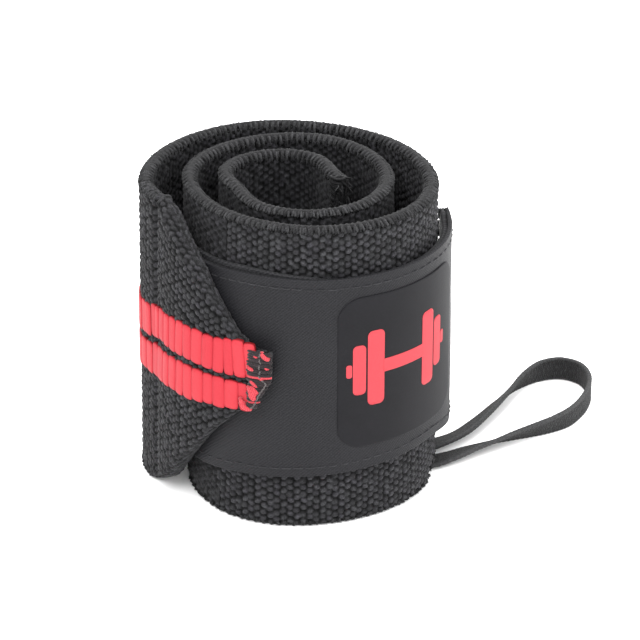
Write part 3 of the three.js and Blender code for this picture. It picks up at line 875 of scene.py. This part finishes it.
def patch_mesh():
    surf = lambda a, z: band_radius(a, z) + FACE_MID + column(STRIP, 1, a) + FACE_THICK / 2 + 0.15
    s0, s1 = s_of(PATCH["a0"]), s_of(PATCH["a1"])
    s = np.unique(np.concatenate([np.linspace(s0, s1, 64), s0 + np.array([0, 0.1, 0.3, 0.7]), s1 - np.array([0, 0.1, 0.3, 0.7])]))
    a = a_of(s)
    frm = np.minimum(s - s0, s1 - s)
    dd = np.clip(PATCH["corner"] - frm, 0, PATCH["corner"])
    inset = PATCH["corner"] - np.sqrt(np.maximum(PATCH["corner"] ** 2 - dd ** 2, 0))
    lo, hi = PATCH["low"] + inset, PATCH["high"] - inset
    frac = np.unique(np.concatenate([np.linspace(0, 1, 48), [0.003, 0.01, 0.99, 0.997]]))
    z = lo[:, None] + (hi - lo)[:, None] * frac
    d = np.minimum(np.minimum(z - lo[:, None], hi[:, None] - z), frm[:, None])
    f = np.sqrt(np.clip(1 - np.clip((0.3 - d) / 0.3, 0, 1) ** 2, 0, 1))
    aa = a[:, None] * np.ones_like(z)
    outer, _, _ = put(aa, z, 0.0 + 0.10 * f, surf)
    inner, _, _ = put(aa, z, -0.06 + 0.0 * f, surf)
    n, m = z.shape
    verts = np.concatenate([outer.reshape(-1, 3), inner.reshape(-1, 3)])
    uv = np.stack([np.repeat(s, m), z.ravel()], -1)
    rim = np.array([i * m for i in range(n)] + [(n - 1) * m + j for j in range(1, m)] + [i * m + m - 1 for i in range(n - 2, -1, -1)] + [j for j in range(m - 2, 0, -1)])
    nxt = np.roll(rim, -1)
    k = n * m
    side = np.concatenate([np.stack([nxt, rim, k + rim], -1), np.stack([nxt, k + rim, k + nxt], -1)])
    faces = np.concatenate([quads(n, m), quads(n, m, k, True), side])
    v, f_, uv = weld(verts, faces, np.concatenate([uv, uv]))
    obj = finish_piece(mesh_object("patch", v, f_, M_PATCH, np.full((len(v), 3), 0.5), uv), "transfer_patch")
    return obj


patch_mesh()


def print_mesh():
    """A plain dumbbell: a bar with two plates at each end, printed on the patch."""
    surf = lambda a, z: band_radius(a, z) + FACE_MID + column(STRIP, 1, a) + FACE_THICK / 2 + 0.15
    cs, cz = float(s_of(676.8)), 41.2
    # centre along, width, height, corner
    shapes = [(0, 12.6, 3.3, 0.3), (-8.0, 4.3, 19.0, 1.3), (8.0, 4.3, 19.0, 1.3), (-12.2, 3.2, 12.6, 1.1), (12.2, 3.2, 12.6, 1.1),
              (-14.7, 1.4, 3.3, 0.5), (14.7, 1.4, 3.3, 0.5)]
    verts, faces, tones, uvs, base = [], [], [], [], 0
    # s is measured on the band; the strip's outer face is a little longer
    scale = float(band_radius(676.8, 41.0)) / float(surf(676.8, 41.0))
    for cx, w, h, r in shapes:
        x = np.unique(np.round(np.concatenate([np.linspace(-w / 2, w / 2, max(7, int(w / 0.5))), -w / 2 + r * (1 - np.cos(np.linspace(0, np.pi / 2, 6))), w / 2 - r * (1 - np.cos(np.linspace(0, np.pi / 2, 6)))]), 5))
        dd = np.clip(r - (w / 2 - np.abs(x)), 0, r)
        reach = h / 2 - (r - np.sqrt(np.maximum(r * r - dd * dd, 0)))
        n, m = len(x), 25
        z = reach[:, None] * np.linspace(-1, 1, m)[None, :]
        s = cs + (cx + x[:, None]) * scale * np.ones_like(z)
        front, _, _ = put(a_of(s), cz + z, 0.17, surf)
        back, _, _ = put(a_of(s), cz + z, 0.03, surf)
        verts += [front.reshape(-1, 3), back.reshape(-1, 3)]
        q = np.stack([s.ravel() + 500, z.ravel()], -1)
        uvs += [q, q]
        k = n * m
        rim = np.array([i * m for i in range(n)] + [(n - 1) * m + j for j in range(1, m)] + [i * m + m - 1 for i in range(n - 2, -1, -1)] + [j for j in range(m - 2, 0, -1)])
        nxt = np.roll(rim, -1)
        faces += [quads(n, m, base), quads(n, m, base + k, True),
                  np.concatenate([np.stack([base + nxt, base + rim, base + k + rim], -1), np.stack([base + nxt, base + k + rim, base + k + nxt], -1)])]
        tones.append(np.tile([0.62, 0.5, 0], (2 * k, 1)))
        base += 2 * k
    obj = mesh_object("patch_print", np.concatenate(verts), np.concatenate(faces), M_PRINT, np.concatenate(tones), np.concatenate(uvs))
    return finish_piece(obj, "transfer_patch")


print_mesh()


# ---------------------------------------------------------------- bar tack
def tack():
    g = np.random.default_rng(41)
    dark, red, pale = [], [], []
    top = 0.25

    def seg(a0, z0, a1, z1, r, rise=0.45, n=7, base_off=None):
        t = np.linspace(0, 1, n)
        a = a0 + (a1 - a0) * t
        z = z0 + (z1 - z0) * t
        off = band_thick(a) / 2 + (top if base_off is None else base_off) + rise * np.sin(np.pi * t) ** 0.5
        p, _, _ = put(a, z, off)
        return p, r
    lo = lambda a: column(POINT, 1, a)
    hi = lambda a: column(POINT, 2, a)
    z = 34.2
    while z < 47.9:
        right = 983.2 if z > 41 else float(np.interp(z, [33.5, 40.8], [977.2, 983.0]))
        left = 974.2 + g.normal(0, 0.3)
        if right - left > 1.5:
            tone = 0.55 + 0.5 * g.random()
            p, r = seg(left, z + g.normal(0, 0.1), right + g.normal(0, 0.25), z + g.normal(0, 0.25), 0.36, 0.55)
            (red if g.random() < 0.16 else dark).append((p, r, (tone, tone, tone)))
        z += 0.52
    # red ends that show between the dark stitches
    for a0, z0, a1, z1, r in ((974.0, 44.0, 976.6, 43.3, 0.42), (975.2, 40.6, 978.6, 39.2, 0.42), (976.4, 46.9, 978.8, 46.6, 0.26),
                              (979.6, 47.7, 982.3, 46.3, 0.55), (978.9, 41.6, 980.4, 41.2, 0.30), (980.9, 44.3, 982.4, 44.0, 0.26)):
        p, r = seg(a0, z0, a1, z1, r, 0.75)
        red.append((p, r, (1, 1, 1)))
    for a0, z0, a1, z1, r in ((974.6, 38.9, 978.0, 37.0, 0.62), (974.9, 38.1, 977.6, 36.1, 0.60), (975.6, 39.3, 978.8, 37.6, 0.52), (975.0, 37.2, 977.2, 35.7, 0.5)):
        p, r = seg(a0, z0, a1, z1, r, 0.75)
        red.append((p, r, (1, 1, 1)))
    for a0, z0, a1, z1, r in ((971.6, 34.6, 974.6, 33.2, 0.62), (972.4, 33.9, 975.4, 33.3, 0.58), (971.4, 35.6, 973.2, 34.4, 0.5)):
        p, r = seg(a0, z0, a1, z1, r, 0.6)
        red.append((p, r, (1, 1, 1)))
    # a pale thread that runs down the stitching and round its lower corner
    line = [(979.3, 47.8), (979.0, 46.6), (979.5, 45.3), (978.9, 44.2), (979.4, 43.2), (978.9, 42.2), (979.6, 41.4), (980.6, 40.9),
            (981.6, 40.4), (980.9, 39.3), (980.1, 38.6), (979.2, 37.6), (978.3, 36.2), (977.4, 34.9), (976.2, 34.0), (975.0, 33.4)]
    line = np.array(line)
    t = np.linspace(0, len(line) - 1, 90)
    a = np.interp(t, np.arange(len(line)), line[:, 0])
    z = np.interp(t, np.arange(len(line)), line[:, 1])
    p, _, _ = put(a + 0.12 * np.sin(t * 7), z, band_thick(a) / 2 + 1.0 + 0.12 * np.sin(t * 5))
    pale.append((p, 0.17, (1, 1, 1)))
    m_dark = thread_material("tack_dark", (0.008, 0.006, 0.007), (0.052, 0.036, 0.040))
    m_red = thread_material("tack_red", (0.40, 0.014, 0.030), (0.82, 0.10, 0.12))
    m_pale = thread_material("tack_pale", (0.07, 0.060, 0.060), (0.17, 0.150, 0.150))
    for name, group, mat in (("tack_threads", dark, m_dark), ("tack_red_threads", red, m_red), ("tack_pale_thread", pale, m_pale)):
        v, f, tone, uv = tubes(group, 7)
        finish_piece(mesh_object(name, v, f, mat, tone, uv), "bar_tack")


tack()


# ---------------------------------------------------------------- overlocked inner end
def inner_end():
    g = np.random.default_rng(51)
    dark, pale = [], []
    a0 = ROLL_START
    half = THICK / 2
    for z in np.arange(1.2, 75.4, 0.66):
        zz = z + g.normal(0, 0.25)
        prof = [(half + 0.1, 1.7), (half + 0.14, 0.9), (half - 0.1, 0.1), (half - 0.6, -0.28), (0, -0.36), (-half + 0.6, -0.28), (-half + 0.1, 0.1), (-half - 0.14, 0.9), (-half - 0.1, 1.7)]
        off = np.array([q[0] for q in prof])
        back = np.array([q[1] for q in prof])
        aa = a_of(np.maximum(back, 0)) + np.minimum(back, 0) / 12.5 * 57.3
        p, _, _ = put(aa, zz + np.linspace(-1, 1, len(prof)) * g.uniform(-1.1, 1.3) + 0.12 * np.sin(np.arange(len(prof)) * 1.7 + g.uniform(0, 6)), off)
        v = 0.08 + 0.30 * g.random() ** 2
        dark.append((p, 0.30 + 0.16 * g.random(), (v, v, v)))
    for i in range(6):
        z0 = 75.2 - 7 * g.random() if i < 4 else 60 - 10 * g.random()
        t = np.linspace(0, 1, 9)
        d = g.uniform(-1, 1, 3)
        ln = g.uniform(1.6, 3.2)
        off0 = g.uniform(-1.4, 1.4)
        start, nrm, tan = put(a0 - 0.8, z0, off0)
        direction = -tan * abs(d[0]) * 0.8 + nrm * d[1] + np.array([0, 0, 0.7 * d[2]])
        pts = start + t[:, None] * direction * ln + np.array([0, 0, -0.6])[None, :] * t[:, None] ** 2 + 0.12 * np.sin(t * 9 + i)[:, None] * nrm
        pts[:, 2] = np.minimum(pts[:, 2], 76.4)
        pale.append((pts, 0.10, (0.5, 0.5, 0.5)))
    for i in range(26):      # loose yarns hanging down over the cut
        z0 = g.uniform(12, 75.6) if i > 8 else g.uniform(70, 75.8)
        ln = g.uniform(5, 15)
        t = np.linspace(0, 1, 9)
        zz = np.maximum(z0 - t * ln, 0.8)
        p, _, _ = put(a0 - (0.55 + 0.25 * np.sin(t * 5 + g.uniform(0, 6))) / 12.5 * 57.3, zz, g.uniform(-1.5, 1.5) + 0.25 * np.sin(t * 7 + g.uniform(0, 6)))
        v = 0.05 + 0.5 * g.random() ** 3
        dark.append((p, 0.20 + 0.14 * g.random(), (v, v, v)))
    for i in range(34):      # a frayed tuft at the top of the cut
        start, nrm, tan = put(a0 - 0.3, g.uniform(69.5, 76.0), g.uniform(-0.9, 1.9))
        t = np.linspace(0, 1, 6)
        ln = g.uniform(0.7, 2.4)
        way = -tan * g.uniform(0.1, 1.0) + nrm * g.uniform(0.0, 1.1) + np.array([0, 0, g.uniform(-0.8, 0.35)])
        p = start + t[:, None] * way * ln + np.array([0, 0, -0.5])[None, :] * t[:, None] ** 2
        p[:, 2] = np.minimum(p[:, 2], 76.3)
        v = 0.05 + 0.35 * g.random() ** 2
        dark.append((p, (0.20 + 0.14 * g.random()) * (1 - 0.6 * t), (v, v, v)))
    m_pale = thread_material("end_pale", (0.03, 0.03, 0.033), (0.08, 0.08, 0.085))
    for name, group, mat in (("end_overlock", dark, M_STITCH), ("end_frays", pale, m_pale)):
        v, f, tone, uv = tubes(group, 6)
        finish_piece(mesh_object(name, v, f, mat, tone, uv), "elastic_band")


inner_end()

# ---------------------------------------------------------------- thumb loop
LOOP = np.array([
    [16.1, 2.2, 13.5, 0, 1], [16.1, 2.2, 6.0, 0, 1], [16.5, 2.2, 3.0, 0, 1], [18.4, 2.2, 1.99, 0, 1],
    [22.0, 2.2, 1.97, 0, 0], [27.5, 2.9, 1.97, 0, 0], [32.5, 4.6, 1.97, 4, 0], [36.5, 6.6, 1.95, 16, 0],
    [41.8, 11.0, 1.95, 25, 0], [47.0, 18.0, 2.3, 35, 0], [52.4, 26.9, 2.7, 46, 0], [57.9, 36.0, 3.1, 66, 0],
    [63.3, 41.4, 3.15, 84, 0], [68.4, 42.9, 3.15, 90, 0], [73.0, 40.3, 3.15, 90, 0], [75.0, 34.0, 3.15, 90, 0],
    [73.6, 26.0, 3.15, 88, 0], [69.1, 17.6, 3.15, 80, 0], [63.9, 13.2, 3.1, 66, 0], [58.8, 10.6, 2.85, 55, 0],
    [53.8, 8.4, 2.5, 44, 0], [48.8, 6.0, 2.1, 32, 0], [43.9, 3.3, 1.85, 24, 0], [38.9, 0.4, 1.4, 15, 0],
    [34.0, -1.1, 0.8, 4, 0], [29.0, 0.2, 0.57, 0, 0], [24.0, 2.0, 0.57, 0, 0], [19.0, 2.2, 0.57, 0, 0],
    [16.4, 2.2, 0.62, 0, 1], [14.85, 2.2, 1.9, 0, 1], [14.65, 2.2, 5.0, 0, 1], [14.65, 2.2, 13.5, 0, 1]])


def centripetal(points, u):
    n = len(points)
    p = u * (n - 1)
    i = int(math.floor(p))
    w = p - i
    if i >= n - 1:
        i, w = n - 2, 1.0
    p1, p2 = points[i], points[i + 1]
    p0 = points[i - 1] if i > 0 else 2 * points[0] - points[1]
    p3 = points[i + 2] if i + 2 < n else 2 * points[-1] - points[-2]
    d = [max(float(((b - a) ** 2).sum()), 0) ** 0.25 for a, b in ((p0, p1), (p1, p2), (p2, p3))]
    if d[1] < 1e-4:
        d[1] = 1.0
    if d[0] < 1e-4:
        d[0] = d[1]
    if d[2] < 1e-4:
        d[2] = d[1]
    t1 = ((p1 - p0) / d[0] - (p2 - p0) / (d[0] + d[1]) + (p2 - p1) / d[1]) * d[1]
    t2 = ((p2 - p1) / d[1] - (p3 - p1) / (d[1] + d[2]) + (p3 - p2) / d[2]) * d[1]
    return p1 + t1 * w + (-3 * p1 + 3 * p2 - 2 * t1 - t2) * w * w + (2 * p1 - 2 * p2 + t1 + t2) * w ** 3


def thumb_loop():
    pts3 = LOOP[:, :3]
    n = len(LOOP)
    dense = np.linspace(0, 1, 1600)
    line = np.array([centripetal(pts3, u) for u in dense])
    run = np.concatenate([[0], np.cumsum(np.linalg.norm(np.diff(line, axis=0), axis=1))])
    total = run[-1]
    rib = 0.62
    count = int(total / rib * 3)
    us = np.interp(np.linspace(0, total, count + 1), run, dense)
    centre = np.array([centripetal(pts3, u) for u in us])
    along = np.array([centripetal(pts3, min(1, u + 1e-4)) - centripetal(pts3, max(0, u - 1e-4)) for u in us])
    along /= np.linalg.norm(along, axis=1)[:, None]
    flat = np.cross(along, [0, 0, 1.0])
    size = np.linalg.norm(flat, axis=1)
    k = us * (n - 1)
    lean = np.radians(np.interp(k, np.arange(n), LOOP[:, 3]))
    tail = np.interp(k, np.arange(n), LOOP[:, 4]) > 0.5
    side = flat / np.maximum(size, 1e-9)[:, None]
    fixed = (size < 1e-2) | tail
    side[fixed] = [0, -1, 0]
    back = smooth(us, 14 / (n - 1) - 0.02, 14 / (n - 1) + 0.02) > 0.5
    side[back & ~tail] *= -1
    width = side * np.cos(lean)[:, None] + np.array([0, 0, 1.0]) * np.sin(lean)[:, None]
    width -= along * (width * along).sum(1)[:, None]
    width /= np.linalg.norm(width, axis=1)[:, None]
    normal = np.cross(along, width)
    # cross-section: two round edge cords and a flat ribbed middle
    W, T = 6.2, 1.1
    rim_pos = np.array([0.80, 0.87, 0.94, 0.98, 1.0])
    w_pos = np.concatenate([-rim_pos[::-1], np.linspace(-0.66, 0.66, 9), rim_pos])
    cells = len(w_pos)
    prof_w = w_pos * (W / 2 - 0.02)
    rim = np.clip((np.abs(w_pos) - 0.80) / 0.20, 0, 1)
    half_t = T / 2 * (0.80 + 0.22 * np.sin(np.pi * np.clip(rim, 0, 1)) ** 0.8)
    half_t = half_t * np.sqrt(np.clip(1 - np.clip((np.abs(w_pos) - 0.90) / 0.10, 0, 1) ** 2, 0, 1))
    m = len(us)
    idx = np.arange(m)[:, None]
    mid = np.abs(w_pos)[None, :] < 0.80
    ribs = 0.5 + 0.5 * np.cos(2 * np.pi * (idx / 3.0 + 0.5 * (np.round(w_pos * 5)[None, :] % 2)))
    relief = np.where(mid, 0.16 * (ribs - 0.5), 0.06 * (0.5 + 0.5 * np.cos(2 * np.pi * idx / 6.0) - 0.5)) * (half_t[None, :] > 0.05)
    top = centre[:, None, :] + width[:, None, :] * prof_w[None, :, None] + normal[:, None, :] * (half_t[None, :] + relief)[..., None]
    bot = centre[:, None, :] + width[:, None, :] * prof_w[None, :, None] - normal[:, None, :] * (half_t[None, :] + relief)[..., None]
    verts = np.concatenate([top.reshape(-1, 3), bot.reshape(-1, 3)])
    verts[:, 2] = np.maximum(verts[:, 2], 0.0)
    is_rim = (np.abs(w_pos) > 0.86)[None, :]
    # tone follows the ribs: painted shade in the troughs between them; the edge cords are set lighter
    h = np.where(is_rim, 0.86, 0.20 + 0.70 * ribs * (0.5 + rng.random(ribs.shape)))
    tone = np.stack([h, 0.35 + 0.3 * rng.random(h.shape) + 0.12 * is_rim, np.full(h.shape, 0.4)], -1).reshape(-1, 3)
    tone = np.concatenate([tone, tone])
    uv = np.stack([np.repeat(np.linspace(0, total, m), cells), np.tile(prof_w, m)], -1)
    uv = np.concatenate([uv, uv])
    j = np.arange(cells - 1)
    ends = []
    for row, turn in ((0, False), (m - 1, True)):
        p, q = row * cells + j, row * cells + j + 1
        u_, v_ = p + m * cells, q + m * cells
        t = np.concatenate([np.stack([p, q, v_], -1), np.stack([p, v_, u_], -1)])
        ends.append(t[:, ::-1] if turn else t)
    faces = np.concatenate([quads(m, cells), quads(m, cells, m * cells, True), *ends])
    v, f, tone, uv = weld(verts, faces, tone, uv)
    mat = knit_material("loop_elastic", (0.003, 0.003, 0.0035), (0.055, 0.055, 0.057), 0.7, 0.08)
    return finish_piece(mesh_object("loop_strap", v, f, mat, tone, uv), "thumb_loop"), total


loop_obj, loop_length = thumb_loop()

# ---------------------------------------------------------------- stage, light, camera
floor_mesh = bpy.data.meshes.new("floor")
q = 6.0
floor_mesh.from_pydata([(-q, -q, 0), (q, -q, 0), (q, q, 0), (-q, q, 0)], [], [(0, 1, 2, 3)])
floor = bpy.data.objects.new("floor", floor_mesh)
bpy.context.scene.collection.objects.link(floor)
floor.location.z = -0.00005
mf, nodes, links = new_material("floor_white")
bf = shader(nodes, links, 0.9, 0.1)
bf.inputs["Base Color"].default_value = (0.93, 0.93, 0.93, 1)
floor_mesh.materials.append(mf)

world = bpy.data.worlds.new("studio")
bpy.context.scene.world = world
world.use_nodes = True
bg = world.node_tree.nodes.get("Background") or world.node_tree.nodes.new("ShaderNodeBackground")
bg.inputs[0].default_value = (1, 1, 1, 1)
bg.inputs[1].default_value = 0.92 / DIM


def area_light(name, where, aim, size, power):
    data = bpy.data.lights.new(name, "AREA")
    data.shape = "RECTANGLE"
    data.size, data.size_y = size
    data.energy = power
    obj = bpy.data.objects.new(name, data)
    bpy.context.scene.collection.objects.link(obj)
    obj.location = where
    obj.rotation_mode = "QUATERNION"
    obj.rotation_quaternion = (Vector(aim) - Vector(where)).to_track_quat("-Z", "Y")
    return obj


area_light("key", (-0.35, -0.95, 1.25), (0, 0, 0.04), (0.8, 0.8), 14.0 / DIM)
area_light("fill", (1.15, -0.55, 0.8), (0, 0, 0.04), (0.8, 0.9), 7.0 / DIM)
area_light("top", (0.1, 0.35, 1.5), (0, 0, 0.05), (1.0, 0.7), 13.0 / DIM)

# camera fitted to the photograph's outlines
C = np.array([-6.170168193219638, -788.5013287820932, 439.2426026879922])
pitch, yaw, focal, roll = 0.4701851619602644, 0.01700440053022172, 3738.1096020509226, 0.008003820920316509
fw = np.array([math.sin(yaw) * math.cos(pitch), math.cos(yaw) * math.cos(pitch), -math.sin(pitch)])
rt = np.array([math.cos(yaw), -math.sin(yaw), 0.0])
up = np.cross(rt, fw)
rt2 = rt * math.cos(roll) + up * math.sin(roll)
up2 = up * math.cos(roll) - rt * math.sin(roll)
cam_data = bpy.data.cameras.new("camera")
cam_data.sensor_fit = "HORIZONTAL"
cam_data.sensor_width = 36.0
cam_data.lens = focal * 36.0 / 640.0
cam_data.clip_start, cam_data.clip_end = 0.05, 20.0
cam = bpy.data.objects.new("camera", cam_data)
bpy.context.scene.collection.objects.link(cam)
place = to_row(C)
mat = Matrix.Identity(4)
for r_ in range(3):
    mat[r_][0], mat[r_][1], mat[r_][2], mat[r_][3] = rt2[r_], up2[r_], -fw[r_], place[r_]
cam.matrix_world = mat
bpy.context.scene.camera = cam
bpy.context.scene.view_settings.view_transform = "Standard"
bpy.context.scene.view_settings.look = "None"
